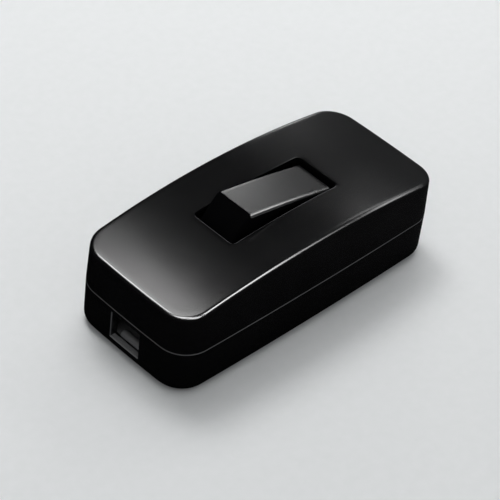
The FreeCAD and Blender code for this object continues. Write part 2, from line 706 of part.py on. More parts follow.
# Contact rivets: a flat head and a short shank, one under the blade and one on the post.
tip = body("moving_contact_left")
turned = sketch(tip, "XZ_Plane", "profile")
outline(
    turned,
    [
        (ZERO, -d.tip_high),
        (d.tip_dia / 2, -d.tip_high),
        (d.tip_dia / 2, ZERO),
        (d.tip_shank / 2, ZERO),
        (d.tip_shank / 2, d.blade_thick),
        (ZERO, d.blade_thick),
    ],
)
revolve(tip, turned)
place(tip, d.open_x, d.pole_y, d.open_z, -d.vee - d.swing)
pieces.append(tip)
pieces.append(mirror(tip, "moving_contact_right", 0, 1))
tip = body("fixed_contact_left")
turned = sketch(tip, "XZ_Plane", "profile")
outline(
    turned,
    [
        (ZERO, -d.tip_shank),
        (d.tip_shank / 2, -d.tip_shank),
        (d.tip_shank / 2, ZERO),
        (d.tip_dia / 2, ZERO),
        (d.tip_dia / 2, d.tip_high),
        (ZERO, d.tip_high),
    ],
)
revolve(tip, turned)
place(tip, d.closed_x, d.pole_y, d.post_z)
pieces.append(tip)
pieces.append(mirror(tip, "fixed_contact_right", 0, 1))

# Terminals: a drilled block on a flat strip, which ends in the blade's saddle or the contact post.
low_y = d.pole_y - d.strip_wid / 2
high_y = d.pole_y + d.strip_wid / 2
near_x = d.block_x - d.block_len / 2
far_x = d.block_x + d.block_len / 2
in_y = d.block_y - d.block_wid / 2
out_y = d.block_y + d.block_wid / 2
strip_top = d.floor_z + d.strip
upright_half = d.tip_dia / 2
fulcrum_top = d.fulcrum_z - d.fulcrum_gap
for label, side, inner, uprights in (
    (
        "pivot_terminal_left",
        -1,
        -d.strip_end,
        ((ZERO, fulcrum_top, d.saddle_half), (-d.closed_x, d.rest_z, d.tip_shank)),
    ),
    ("fixed_terminal_left", 1, d.closed_x - upright_half, ((d.closed_x, d.post_z, upright_half),)),
):
    terminal = body(label)
    flat = sketch(terminal, "XY_Plane", "strip", d.floor_z)
    outline(
        flat,
        [
            (inner * side, low_y),
            ((d.neck_x + d.strip_wid) * side, low_y),
            ((d.neck_x + d.strip_wid) * side, in_y),
            (far_x * side, in_y),
            (far_x * side, out_y),
            (near_x * side, out_y),
            (near_x * side, in_y + d.strip_wid),
            (d.neck_x * side, in_y + d.strip_wid),
            (d.neck_x * side, high_y),
            (inner * side, high_y),
        ],
    )
    pad(terminal, flat, d.strip)
    raised = sketch(terminal, "XY_Plane", "block", d.floor_z)
    rectangle(raised, near_x * side, far_x * side, in_y, out_y)
    pad(terminal, raised, d.block_top - d.floor_z)
    wire = sketch(terminal, "YZ_Plane", "wire")
    circle(wire, d.block_y, d.wire_z, d.wire_dia)
    pocket(terminal, wire, (d.block_x + d.block_len) * 2, both=True)
    thread = sketch(terminal, "XY_Plane", "thread", d.wire_z)
    circle(thread, d.block_x * side, d.block_y, d.screw_dia + d.thread_gap * 2)
    pocket(terminal, thread, d.block_top - d.wire_z, back=True)
    for index, (x, top, half) in enumerate(uprights):
        rise = sketch(terminal, "XY_Plane", "upright%d" % index, d.floor_z)
        rectangle(rise, x - half, x + half, low_y, high_y)
        pad(terminal, rise, top - d.floor_z)
    if side > 0:
        eye = sketch(terminal, "XY_Plane", "eye", d.post_z)
        circle(eye, d.closed_x, d.pole_y, d.tip_post)
        pocket(terminal, eye, d.tip_shank + d.tip_gap)
    else:
        groove = sketch(terminal, "XZ_Plane", "groove")
        circle(groove, ZERO, d.fulcrum_z, d.knuckle_dia + d.fulcrum_gap * 2)
        pocket(terminal, groove, (high_y + d.over) * 2, both=True)
    pieces.append(terminal)
    pieces.append(mirror(terminal, label.replace("left", "right"), 0, 1))


def screw(label, head, bite, slotted):
    """A cheese-head screw pointing down, its head seated at the origin."""
    item = body(label)
    turned = sketch(item, "XZ_Plane", "profile")
    outline(
        turned,
        [
            (ZERO, -bite),
            (d.screw_dia / 2, -bite),
            (d.screw_dia / 2, ZERO),
            (head / 2, ZERO),
            (head / 2, d.head_high),
            (ZERO, d.head_high),
        ],
    )
    revolve(item, turned)
    drive_cut = sketch(item, "XY_Plane", "recess", d.head_high)
    if slotted:
        rectangle(drive_cut, -head, head, -(d.slot_cut / 2), d.slot_cut / 2)
        pocket(item, drive_cut, d.slot_sink)
    else:
        long = d.cross_len / 2
        slim = d.cross_wid / 2
        outline(
            drive_cut,
            [
                (long, -slim),
                (long, slim),
                (slim, slim),
                (slim, long),
                (-slim, long),
                (-slim, slim),
                (-long, slim),
                (-long, -slim),
                (-slim, -slim),
                (-slim, -long),
                (slim, -long),
                (slim, -slim),
            ],
        )
        pocket(item, drive_cut, d.cross_deep)
    return item


# Terminal screws, one in each block.
first = screw("terminal_screw", d.wire_head, d.wire_bite, True)
place(first, d.block_x, d.block_y, d.block_top)
row = group("terminal_screw_row", [first, mirror(first, "terminal_screw_across", 0, 1)])
pieces.append(group("terminal_screws", [row, mirror(row, "terminal_screw_row_near", 1, 0)]))

# Cord clamps: a bar hollowed for the cord, screwed down on two posts.
clamp = body("cord_clamp_far")
bar = sketch(clamp, "YZ_Plane", "profile", d.clamp_x)
half_bar = d.clamp_wid / 2
bar_top = d.clamp_z + d.clamp_thick
outline(
    bar,
    [
        (-half_bar, d.clamp_z),
        (-d.clamp_half, d.clamp_z),
        (-(d.clamp_half / 2), d.clamp_z + d.clamp_arch),
        (d.clamp_half / 2, d.clamp_z + d.clamp_arch),
        (d.clamp_half, d.clamp_z),
        (half_bar, d.clamp_z),
        (half_bar, bar_top),
        (-half_bar, bar_top),
    ],
)
pad(clamp, bar, d.clamp_len, both=True)
eyes = sketch(clamp, "XY_Plane", "eyes", bar_top)
circle(eyes, d.clamp_x, d.clamp_y, d.screw_hole)
circle(eyes, d.clamp_x, -d.clamp_y, d.screw_hole)
pocket(clamp, eyes, d.clamp_thick)
pieces.append(clamp)
pieces.append(mirror(clamp, "cord_clamp_near", 1, 0))
first = screw("clamp_screw", d.head_dia, d.clamp_bite, False)
place(first, d.clamp_x, d.clamp_y, bar_top)
row = group("clamp_screw_row", [first, mirror(first, "clamp_screw_across", 0, 1)])
pieces.append(group("clamp_screws", [row, mirror(row, "clamp_screw_row_near", 1, 0)]))

# Case screws: driven up from the underside into the bosses of the cover.
first = screw("case_screw", d.head_dia, d.case_bite, False)
first.Placement = FreeCAD.Placement(
    FreeCAD.Vector(0, d.case_y.number, d.case_seat.number), FreeCAD.Rotation(FreeCAD.Vector(1, 0, 0), 180)
)
first.setExpression("Placement.Base.y", d.case_y.text)
first.setExpression("Placement.Base.z", d.case_seat.text)
pieces.append(group("case_screws", [first, mirror(first, "case_screw_across", 0, 1)]))

doc.recompute()
for item in doc.Objects:
    if "Invalid" in item.State or "Error" in item.State:
        raise RuntimeError("object not built: " + item.Name)
os.makedirs("parts", exist_ok=True)
for item in pieces:
    if item.Shape.isNull() or not item.Shape.isValid():
        raise RuntimeError("shape not valid: " + item.Label)
    item.Shape.exportStep("parts/" + item.Label + ".step")
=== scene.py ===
import math

import bmesh
import bpy
from mathutils import Matrix, Vector


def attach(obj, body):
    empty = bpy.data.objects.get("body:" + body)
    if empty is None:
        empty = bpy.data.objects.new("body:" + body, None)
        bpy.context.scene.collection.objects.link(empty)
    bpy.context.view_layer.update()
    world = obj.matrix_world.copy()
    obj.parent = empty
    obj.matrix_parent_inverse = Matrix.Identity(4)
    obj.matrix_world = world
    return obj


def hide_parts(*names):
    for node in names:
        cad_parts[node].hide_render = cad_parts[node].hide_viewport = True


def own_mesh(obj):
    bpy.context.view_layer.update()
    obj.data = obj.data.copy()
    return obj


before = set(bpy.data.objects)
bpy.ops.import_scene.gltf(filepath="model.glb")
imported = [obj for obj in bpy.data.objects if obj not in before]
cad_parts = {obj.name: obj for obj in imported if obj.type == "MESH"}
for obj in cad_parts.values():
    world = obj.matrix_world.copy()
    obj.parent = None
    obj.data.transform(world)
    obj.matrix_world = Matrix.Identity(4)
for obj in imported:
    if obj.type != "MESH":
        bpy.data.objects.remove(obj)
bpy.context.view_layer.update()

scene = bpy.context.scene


# Base: the lower half of the case, injection moulded in gloss black plastic. An open tray with a
# rounded foot, a cord window in each end wall and two sunk holes for the case screws underneath.
# Sizes are in millimetres, here and in every section up to the studio.
case_len, case_wid, corner_rad = 80.0, 35.6, 7.0
side_bow, end_bow = 0.55, 0.45
split_z, wall, floor_z, foot_rad, seam_rad = 11.4, 2.0, 2.2, 2.4, 0.2
win_half, sill_z, win_top, win_ease = 4.35, 3.2, 10.05, 0.2
screw_y, sink_rad, sink_seat, hole_rad = 12.05, 3.0, 3.2, 1.6
boss_rad, boss_top = 4.0, 8.0
channel_from, channel_to, channel_half = 27.0, 38.6, 6.0
rib_x, rib_sunk = 37.1, 0.05
rib_ends = ((-3.2, 0.8), (-3.1, 1.02), (-2.9, 1.1), (2.9, 1.1), (3.1, 1.02), (3.2, 0.8))
post_x, post_y, post_rad, post_top = 31.0, 7.4, 3.0, 8.4
barrier_half, barrier_side, barrier_top = 14.0, 0.5, 9.0
root_z = floor_z - 0.2
end_columns, bend_columns, side_columns = (6, 10, 6), 16, 48
pane_first, pane_count = end_columns[0], end_columns[1]
foot_steps, seam_steps, rib_steps = 8, 4, 16


def arc_points(centre, radius, first, last, count):
    """Points on a circle from one angle up to the next arc, with their outward directions."""
    found = []
    for i in range(count):
        a = first + (last - first) * i / count
        way = Vector((math.cos(a), math.sin(a)))
        found.append((centre + way * radius, way))
    return found


def case_ring(inset, pane_half=win_half):
    """The case outline, set in by one distance: (point, outward way) pairs that start at the +X end
    and run counter-clockwise. Two columns fall on the edges of the cord window."""
    side_rad = (case_len ** 2 / 4 + side_bow ** 2) / (2 * side_bow)
    end_rad = (case_wid ** 2 / 4 + end_bow ** 2) / (2 * end_bow)
    side_mid = Vector((0, case_wid / 2 - side_rad))
    end_mid = Vector((case_len / 2 - end_rad, 0))
    reach_side, reach_end = side_rad - corner_rad, end_rad - corner_rad
    gap = side_mid - end_mid
    along = (reach_end ** 2 - reach_side ** 2 + gap.length_squared) / (2 * gap.length)
    off = math.sqrt(reach_end ** 2 - along ** 2)
    way = gap.normalized()
    bend_mid = end_mid + way * along + Vector((way.y, -way.x)) * off
    if bend_mid.x < 0 or bend_mid.y < 0:
        bend_mid = end_mid + way * along - Vector((way.y, -way.x)) * off
    far_mid = Vector((-bend_mid.x, bend_mid.y))
    lean_end = math.atan2(bend_mid.y, bend_mid.x - end_mid.x)
    lean_side = math.atan2(bend_mid.y - side_mid.y, bend_mid.x)
    back_side, back_end = math.pi - lean_side, math.pi - lean_end
    pane = math.asin(pane_half / (end_rad - inset))
    stops = (-lean_end, -pane, pane, lean_end)
    half = []
    for first, last, count in zip(stops, stops[1:], end_columns):
        half += arc_points(end_mid, end_rad - inset, first, last, count)
    half += arc_points(bend_mid, corner_rad - inset, lean_end, lean_side, bend_columns)
    half += arc_points(side_mid, side_rad - inset, lean_side, back_side, side_columns)
    half += arc_points(far_mid, corner_rad - inset, back_side, back_end, bend_columns)
    return [(p * flip, n * flip) for flip in (1, -1) for p, n in half]


def lift(ring, z):
    """A plan ring as points at one height."""
    return [Vector((p.x, p.y, z)) for p, n in ring]


def loft(mesh, rings, skip=None, loop=False, paint=None):
    """Faces between rings of equal count. skip(row, column) leaves a face out and paint gives the
    material number of each row. Returns the vertices."""
    rows = [[mesh.verts.new(p) for p in ring] for ring in rings]
    pairs = list(zip(rows, rows[1:])) + ([(rows[-1], rows[0])] if loop else [])
    for r, (low, high) in enumerate(pairs):
        count = len(low)
        for c in range(count):
            if skip is None or not skip(r, c):
                e = (c + 1) % count
                face = mesh.faces.new((low[c], low[e], high[e], high[c]))
                face.material_index = (paint or {}).get(r, 0)
    return rows


def circle_ring(x, y, radius, z, count=48):
    """Points on a level circle."""
    ring = []
    for i in range(count):
        a = 2 * math.pi * i / count
        ring.append(Vector((x + radius * math.cos(a), y + radius * math.sin(a), z)))
    return ring


def drum(mesh, x, y, radius, low, high, count=40):
    """A closed upright cylinder."""
    rows = loft(mesh, [circle_ring(x, y, radius, z, count) for z in (low, high)])
    mesh.faces.new(rows[0][::-1])
    mesh.faces.new(rows[1])


def block(mesh, low, high, number=0):
    """A closed box between two corners."""
    plan = [(low[0], low[1]), (high[0], low[1]), (high[0], high[1]), (low[0], high[1])]
    rings = [[Vector((x, y, z)) for x, y in plan] for z in (low[2], high[2])]
    rows = loft(mesh, rings, paint={0: number})
    mesh.faces.new(rows[0][::-1]).material_index = number
    mesh.faces.new(rows[1]).material_index = number


def finish_piece(mesh, name, body, nodes, materials, matrix=None, sharp=32):
    """Turn a millimetre mesh into a piece that rides on a body and stands for CAD nodes."""
    bmesh.ops.recalc_face_normals(mesh, faces=mesh.faces)
    mesh.transform(Matrix.Scale(0.001, 4) @ (matrix or Matrix.Identity(4)))
    data = bpy.data.meshes.new(name)
    mesh.to_mesh(data)
    mesh.free()
    data.shade_smooth()
    data.set_sharp_from_angle(angle=math.radians(sharp))
    for material in materials:
        data.materials.append(material)
    item = bpy.data.objects.new(name, data)
    scene.collection.objects.link(item)
    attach(item, body)
    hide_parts(*nodes)
    return item


def linear(text):
    """A colour written as sRGB hex, as the linear values that shaders take."""
    parts = [int(text[i:i + 2], 16) / 255 for i in (1, 3, 5)]
    return [c / 12.92 if c <= 0.04045 else ((c + 0.055) / 1.055) ** 2.4 for c in parts] + [1.0]


def add(tree, kind, links=None, **settings):
    """Add one node with its settings, socket values and incoming links."""
    item = tree.nodes.new(kind)
    for key, value in settings.items():
        if key.startswith("in_"):
            socket = key[3:].replace("_", " ")
            item.inputs[int(socket) if socket.isdigit() else socket].default_value = value
        else:
            setattr(item, key, value)
    for key, source in (links or {}).items():
        tree.links.new(source, item.inputs[key])
    return item


def plastic(name, dark, light, rough_low, rough_high, grain_mm, depth, coat, shine=0.5):
    """Moulded plastic: faint tone and gloss drift from the flow of the melt, and a fine mould grain."""
    flow_mm, grain_high = 14, 0.00003
    made = bpy.data.materials.new(name)
    made.use_nodes = True
    tree = made.node_tree
    tree.nodes.clear()
    where = add(tree, "ShaderNodeTexCoord").outputs["Object"]
    flow = add(tree, "ShaderNodeTexNoise", {"Vector": where}, in_Scale=1000 / flow_mm, in_Detail=3.0)
    grain = add(tree, "ShaderNodeTexNoise", {"Vector": where}, in_Scale=1000 / grain_mm, in_Detail=2.0)
    tone = add(tree, "ShaderNodeValToRGB", {"Fac": flow.outputs["Fac"]})
    tone.color_ramp.elements[0].position, tone.color_ramp.elements[0].color = 0.3, linear(dark)
    tone.color_ramp.elements[1].position, tone.color_ramp.elements[1].color = 0.7, linear(light)
    rough = add(
        tree, "ShaderNodeMapRange", {"Value": flow.outputs["Fac"]}, in_From_Min=0.3, in_From_Max=0.7,
        in_To_Min=rough_low, in_To_Max=rough_high,
    )
    bump = add(
        tree, "ShaderNodeBump", {"Height": grain.outputs["Fac"]}, in_Strength=depth, in_Distance=grain_high
    )
    skin = add(
        tree, "ShaderNodeBsdfPrincipled",
        {
            "Base Color": tone.outputs["Color"],
            "Roughness": rough.outputs["Result"],
            "Normal": bump.outputs["Normal"],
        },
        in_IOR=1.5, in_Specular_IOR_Level=shine, in_Coat_Weight=coat, in_Coat_Roughness=0.25,
    )
    add(tree, "ShaderNodeOutputMaterial", {"Surface": skin.outputs["BSDF"]})
    return made


# Gloss black case plastic: deep black with a soft sheen, so the light shows only on rounds and slopes.
case_plastic = plastic("gloss_black_case_plastic", "#060607", "#0b0b0c", 0.18, 0.21, 0.25, 0.04, 0.0)
# Unpolished inner plastic: the mould is left rough inside, and the channel floor, sill and rib are painted
# mid grey as painted light, for the light they catch through the window.
painted_light_inner_plastic = plastic("unpolished_painted_light_inner", "#5c5c5e", "#686869", 0.6, 0.7, 0.3, 0.3, 0.0, 0.15)
# Painted highlight plastic: a pale grey painted on the parting edge, the window chamfers and the near and
# right lip of the opening, which draws the fine light lines there as a painted highlight.
painted_highlight_plastic = plastic("painted_highlight_parting_edge", "#444446", "#505052", 0.5, 0.6, 0.3, 0.1, 0.0, 0.1)

mesh = bmesh.new()
foot = []
for i in range(foot_steps + 1):
    a = math.pi / 2 * i / foot_steps
    foot.append((foot_rad * (1 - math.sin(a)), foot_rad * (1 - math.cos(a))))
seam = []
for i in range(seam_steps + 1):
    a = math.pi / 2 * i / seam_steps
    seam.append((seam_rad * (1 - math.cos(a)), split_z - seam_rad * (1 - math.sin(a))))
profile = foot + [(0, sill_z - win_ease), (0, win_top + win_ease)] + seam
profile += [(wall, split_z), (wall, win_top), (wall, sill_z), (wall, floor_z)]
outer_row = len(foot)
inner_row = len(profile) - 3
ring_size = len(case_ring(0))


def in_window(row, column):
    """Whether a face of the end walls lies in a cord window and is left out."""
    pane = column % (ring_size // 2) - pane_first
    return row in (outer_row, inner_row) and 0 <= pane < pane_count


# The round at the parting line is painted pale grey as a painted highlight line along the seam.
seam_highlight_paint = {row: 2 for row in range(outer_row + 2, outer_row + 5)}
rings = []
for row, (inset, z) in enumerate(profile):
    rings.append(lift(case_ring(inset, win_half + win_ease if row < inner_row - 1 else win_half), z))
rows = loft(mesh, rings, in_window, paint=seam_highlight_paint)
# Each window has a narrow chamfer outside and a plain reveal behind it. Except at the sill, the chamfer is
# painted pale as a painted highlight line round the window.
frame_ring = case_ring(win_ease)
for start in (pane_first, pane_first + ring_size // 2):
    span = list(range(start, start + pane_count + 1))
    outer = [rows[outer_row][c] for c in span] + [rows[outer_row + 1][c] for c in reversed(span)]
    inner = [rows[inner_row + 1][c] for c in span] + [rows[inner_row][c] for c in reversed(span)]
    middle = [mesh.verts.new((*frame_ring[c][0], sill_z)) for c in span]
    middle += [mesh.verts.new((*frame_ring[c][0], win_top)) for c in reversed(span)]
    for first, last, number in ((outer, middle, 2), (middle, inner, 0)):
        for c in range(len(first)):
            e = (c + 1) % len(first)
            face = mesh.faces.new((first[c], first[e], last[e], last[c]))
            # The sill's chamfer and reveal are unpolished and painted mid grey as painted light, like the
            # channel floor behind them.
            face.material_index = 1 if c < pane_count else number
# The tray's floor is painted in the same mid grey as painted light.
mesh.faces.new(rows[-1]).material_index = 1
# The flat underside is filled around the two sunk screw holes, whose walls and seats follow.
edges = [mesh.edges.get((rows[0][c], rows[0][(c + 1) % ring_size])) for c in range(ring_size)]
for y in (screw_y, -screw_y):
    sink = loft(
        mesh,
        [
            circle_ring(0, y, sink_rad, 0),
            circle_ring(0, y, sink_rad, sink_seat),
            circle_ring(0, y, hole_rad, sink_seat),
            circle_ring(0, y, hole_rad, boss_top),
        ],
    )
    rim = sink[0]
    edges += [mesh.edges.get((rim[c], rim[(c + 1) % len(rim)])) for c in range(len(rim))]
    drum(mesh, 0, y, boss_rad, root_z, boss_top)
bmesh.ops.triangle_fill(mesh, edges=edges, use_beauty=True, normal=(0, 0, -1))
for side in (1, -1):
    low, high = sorted((channel_from * side, channel_to * side))
    # The cord channel's floor is painted mid grey as painted light.
    block(mesh, (low, -channel_half, root_z), (high, channel_half, sill_z), 1)
    # The half-round rib that bites the cord, just behind the window, with eased ends, painted in the inner
    # plastic's mid grey as painted light.
    rib = []
    for y, rad in rib_ends:
        ring = []
        for i in range(rib_steps + 1):
            a = math.pi * i / rib_steps
            z = sill_z - rib_sunk + rad * math.sin(a)
            ring.append(Vector((rib_x * side + rad * math.cos(a), y, z)))
        rib.append(ring)
    ends = loft(mesh, rib, paint={row: 1 for row in range(len(rib_ends) - 1)})
    for end in (ends[0], ends[-1]):
        mesh.faces.new(end).material_index = 1
    for y in (post_y, -post_y):
        drum(mesh, post_x * side, y, post_rad, root_z, post_top)
block(mesh, (-barrier_half, -barrier_side, root_z), (barrier_half, barrier_side, barrier_top))
base_piece = finish_piece(
    mesh, "base_moulding", "housing", ["base_shell"], [case_plastic, painted_light_inner_plastic, painted_highlight_plastic]
)


# Cover: the upper half of the case, moulded in the same plastic. Its roof arches along the length,
# a round runs along its top edge, and the rocker opening in the middle has a slightly eased lip.
arch_top, arch_end, cover_rad, cover_wall, roof = 24.4, 20.9, 1.1, 2.6, 2.0
draft, draft_high = math.tan(math.radians(2.2)), 8
slot_len, slot_wid, slot_rad, slot_ease = 32.2, 12.3, 1.1, 0.2
tongue_out, tongue_in, tongue_deep, tongue_root = 2.1, 3.0, 1.2, 0.5
cover_boss_rad, cover_boss_low, cover_boss_top = 3.4, 8.05, 22.8
cheek_near, cheek_far, cheek_half, cheek_low, cheek_top = 6.15, 7.75, 14.4, 18.6, 22.9
lug_half, lug_top, lug_low = 4, 14.7, 10.4
brow_steps, roof_steps, lip_steps = 10, 18, 4
arch_rad = (case_len ** 2 / 4 + (arch_top - arch_end) ** 2) / (2 * (arch_top - arch_end))


def arch(x, down=0.0):
    """Height of the arched roof at x, or of a surface a distance under it."""
    return arch_top - arch_rad + math.sqrt((arch_rad - down) ** 2 - x ** 2)


def slot_ring(half_x, half_y, radius, ends=end_columns, bends=bend_columns, sides=side_columns):
    """A rounded rectangle with the same columns as the case outline."""
    across, length = half_y - radius, half_x - radius
    near_mid, far_mid = Vector((length, across)), Vector((-length, across))
    count = sum(ends)
    half = [Vector((half_x, -across + 2 * across * i / count)) for i in range(count)]
    half += [p for p, n in arc_points(near_mid, radius, 0, math.pi / 2, bends)]
    half += [Vector((length - 2 * length * i / sides, half_y)) for i in range(sides)]
    half += [p for p, n in arc_points(far_mid, radius, math.pi / 2, math.pi, bends)]
    return [p * flip for flip in (1, -1) for p in half]


mesh = bmesh.new()
rings = [lift(case_ring(cover_wall), split_z)]
for i in range(seam_steps + 1):
    a = math.pi / 2 * i / seam_steps
    rings.append(lift(case_ring(seam_rad * (1 - math.sin(a))), split_z + seam_rad * (1 - math.cos(a))))
# Each column's top round is a circle that touches the drafted wall and the roof's slope there.
plan = case_ring(0)
brow = [[] for i in range(brow_steps + 1)]
for p, n in plan:
    slope = p.x / math.sqrt(arch_rad ** 2 - p.x ** 2) * n.x
    lean_wall, lean_roof = math.atan(draft), math.atan(slope)
    edge_z = arch(p.x)
    # Centre: one radius inside the wall line and one radius under the roof line, both through the edge.
    wall_shift = cover_rad / math.cos(lean_wall)
    roof_shift = cover_rad / math.cos(lean_roof)
    height = (edge_z - roof_shift + slope * (wall_shift - draft * split_z)) / (1 - slope * draft)
    inward = wall_shift + draft * (height - split_z)
    for i, ring in enumerate(brow):
        a = lean_wall + (math.pi / 2 - lean_roof - lean_wall) * i / brow_steps
        q = p - n * (inward - cover_rad * math.cos(a))
        ring.append(Vector((q.x, q.y, height + cover_rad * math.sin(a))))
rings += brow
lip_plan = slot_ring(slot_len / 2 + slot_ease, slot_wid / 2 + slot_ease, slot_rad + slot_ease)
for i in range(1, roof_steps + 1):
    f = i / roof_steps
    ring = []
    for a, b in zip(brow[-1], lip_plan):
        x, y = a.x + (b.x - a.x) * f, a.y + (b.y - a.y) * f
        ring.append(Vector((x, y, arch(x) + (a.z - arch(a.x)) * (1 - f) ** 4)))
    rings.append(ring)
lip_row = len(rings) - 1
for i in range(1, lip_steps + 1):
    a = math.pi / 2 * i / lip_steps
    out = slot_ease * (1 - math.sin(a))
    ring = slot_ring(slot_len / 2 + out, slot_wid / 2 + out, slot_rad + out)
    rings.append([Vector((p.x, p.y, arch(p.x) - slot_ease * (1 - math.cos(a)))) for p in ring])
slot_plan = slot_ring(slot_len / 2, slot_wid / 2, slot_rad)
inner = [(p - n * (cover_wall + draft * draft_high)) for p, n in plan]
rings.append([Vector((p.x, p.y, arch(p.x, roof))) for p in slot_plan])
rings.append([Vector((p.x, p.y, arch(p.x, roof))) for p in inner])
rows = loft(mesh, rings, loop=True)
# The lip and walls of the opening are dull, and the lip's near end and right side are painted pale as a
# painted highlight line.
for c in range(ring_size):
    e = (c + 1) % ring_size
    p = rows[lip_row][c].co
    painted_highlight_lip = p.x < -slot_len / 2 or p.y < -slot_wid / 2
    for r in range(lip_row, lip_row + lip_steps + 1):
        face = mesh.faces.get((rows[r][c], rows[r][e], rows[r + 1][e], rows[r + 1][c]))
        face.material_index = 1 if painted_highlight_lip and r < lip_row + 2 else 2
# The tongue that locates the cover in the base, the screw bosses, and the two cheeks that carry the
# rocker's trunnions.
tongue_low, tongue_high = split_z - tongue_deep, split_z + tongue_root
tongue = [(tongue_out, tongue_high), (tongue_out, tongue_low)]
tongue += [(tongue_in, tongue_low), (tongue_in, tongue_high)]
loft(mesh, [lift(case_ring(inset), z) for inset, z in tongue], loop=True)
for side in (1, -1):
    drum(mesh, 0, screw_y * side, cover_boss_rad, cover_boss_low, cover_boss_top)
    left = [(-cheek_half, cheek_top), (-cheek_half, cheek_low), (-lug_half, lug_top), (-lug_half, lug_low)]
    outline = left + [(-x, z) for x, z in reversed(left)]
    caps = loft(mesh, [[Vector((x, y * side, z)) for x, z in outline] for y in (cheek_near, cheek_far)])
    for cap in caps:
        mesh.faces.new(cap)
# Unpolished black plastic: faces that the mould leaves dull, which stay black beside the gloss.
dull_plastic = plastic("unpolished_black_plastic", "#050506", "#09090a", 0.7, 0.8, 0.25, 0.04, 0.0, 0.0)
cover_piece = finish_piece(
    mesh, "cover_moulding", "housing", ["cover_shell"], [case_plastic, painted_highlight_plastic, dull_plastic]
)


# Rocker: a separate gloss black moulding with a gently curved top, rounded long edges and end
# skirts struck about its pivot. Two trunnions snap into the cover's cheeks.
# Heights are above the pivot.
tilt, pivot_z = math.radians(11.7), 13.7
top_half, rocker_half, top_z, top_rise = 12.8, 5.2, 12.1, 0.3
long_rad, end_rad, bend_rad, skirt_low = 0.7, 0.14, 0.6, 4.0
hollow_low_half, hollow_top, hollow_top_half, hollow_side, hollow_rad = 15.4, 10.3, 12.2, 3.9, 0.5
hub_half, hub_low, hub_top = 3.4, 3.2, 10.6
collar_rad, collar_reach, pin_rad, pin_reach = 2.8, 6.0, 1.5, 7.65
bend_ease, heart_rad, round_from = 0.4, 0.2, 10.5
skirt_steps, round_steps, top_steps = 10, 10, 8
skirt_rad = math.hypot(top_half, top_z)


def rocker_top(x):
    """Height of the curved top at x."""
    return top_z + top_rise * (1 - (x / top_half) ** 2)


def skirt(z):
    """Half length of the rocker over its end skirts at a height."""
    return math.sqrt(skirt_rad ** 2 - z ** 2)


rocker_ends, rocker_bends, rocker_sides = (4, 8, 4), 12, 64
columns = dict(ends=rocker_ends, bends=rocker_bends, sides=rocker_sides)
# Each column's share in the long sides: 0 on the ends, 1 on the sides and a ramp round the corners.
ramp = [i / rocker_bends for i in range(rocker_bends)]
side_share = ([0.0] * sum(rocker_ends) + ramp + [1.0] * rocker_sides + [1 - f for f in ramp]) * 2
mesh = bmesh.new()
start_z = rocker_top(top_half) - end_rad
start_x = skirt(start_z)
rings = []
for z, half in ((skirt_low, hollow_low_half), (hollow_top, hollow_top_half)):
    rings.append([Vector((p.x, p.y, z)) for p in slot_ring(half, hollow_side, hollow_rad, **columns)])
inside = loft(mesh, rings)
mesh.faces.new(inside[1])
rings = [[v.co.copy() for v in inside[0]]]
plan = slot_ring(start_x, rocker_half, bend_rad, **columns)
for i in range(skirt_steps + 1):
    f = i / skirt_steps
    ring = []
    for p, share in zip(plan, side_share):
        high = rocker_top(min(max(p.x, -top_half), top_half)) - end_rad - (long_rad - end_rad) * share
        z = skirt_low + (high - skirt_low) * f
        x = p.x + math.copysign((skirt(z) - start_x) * min(1.0, max(0.0, abs(p.x) / start_x)) ** 8, p.x)
        ring.append(Vector((x, p.y, z)))
    rings.append(ring)
for i in range(1, round_steps + 1):
    a = math.pi / 2 * i / round_steps
    ease = 1 - math.cos(a)
    reach = start_x - (start_x - top_half + end_rad) * ease
    plan = slot_ring(reach, rocker_half - long_rad * ease, bend_rad - bend_ease * ease, **columns)
    ring = []
    for p, share in zip(plan, side_share):
        drop = (end_rad + (long_rad - end_rad) * share) * (1 - math.sin(a))
        ring.append(Vector((p.x, p.y, rocker_top(p.x) - drop)))
    rings.append(ring)
half_x, half_y = top_half - end_rad, rocker_half - long_rad
for i in range(1, top_steps + 1):
    f = i / top_steps
    plan = slot_ring(half_x - half_y * f, half_y * (1 - f), heart_rad * (1 - f), **columns)
    rings.append([Vector((p.x, p.y, rocker_top(p.x))) for p in plan])
shell = loft(mesh, rings, paint={row: 1 for row in range(skirt_steps + 1)})
bmesh.ops.remove_doubles(mesh, verts=list(inside[0]) + list(shell[0]) + list(shell[-1]), dist=1e-5)
# The skirt, the crisp end edges and the left round are dull, and the right round is polished by use.
for face in mesh.faces:
    middle = face.calc_center_median()
    if abs(middle.x) > top_half - end_rad / 2 and abs(middle.y) < rocker_half - 0.2:
        face.material_index = 1
    elif face.material_index == 0 and middle.z > round_from and abs(middle.y) > rocker_half - long_rad:
        face.material_index = 1 if middle.y > 0 else 2
block(mesh, (-hub_half, -rocker_half, -hub_low), (hub_half, rocker_half, hub_top))
for radius, reach in ((collar_rad, collar_reach), (pin_rad, pin_reach)):
    circle = circle_ring(0, 0, radius, 0, 40)
    for end in loft(mesh, [[Vector((p.x, y, p.y)) for p in circle] for y in (-reach, reach)]):
        mesh.faces.new(end)
# Satin rocker plastic: the same black with a touch more sheen, so its top shows a soft gradient.
rocker_plastic = plastic("satin_black_rocker_plastic", "#060607", "#0b0b0c", 0.24, 0.27, 0.25, 0.04, 1.0)
# Polished edge plastic: the round on the right, where thumbs slide off, is worn to a brighter gloss.
thumb_plastic = plastic("thumb_polished_rocker_edge", "#060607", "#0b0b0c", 0.26, 0.3, 0.25, 0.02, 1.0, 1.0)
seat = Matrix.Translation((0, 0, pivot_z)) @ Matrix.Rotation(tilt, 4, "Y")
rocker_piece = finish_piece(
    mesh, "rocker_moulding", "rocker", ["rocker"], [rocker_plastic, dull_plastic, thumb_plastic], seat
)


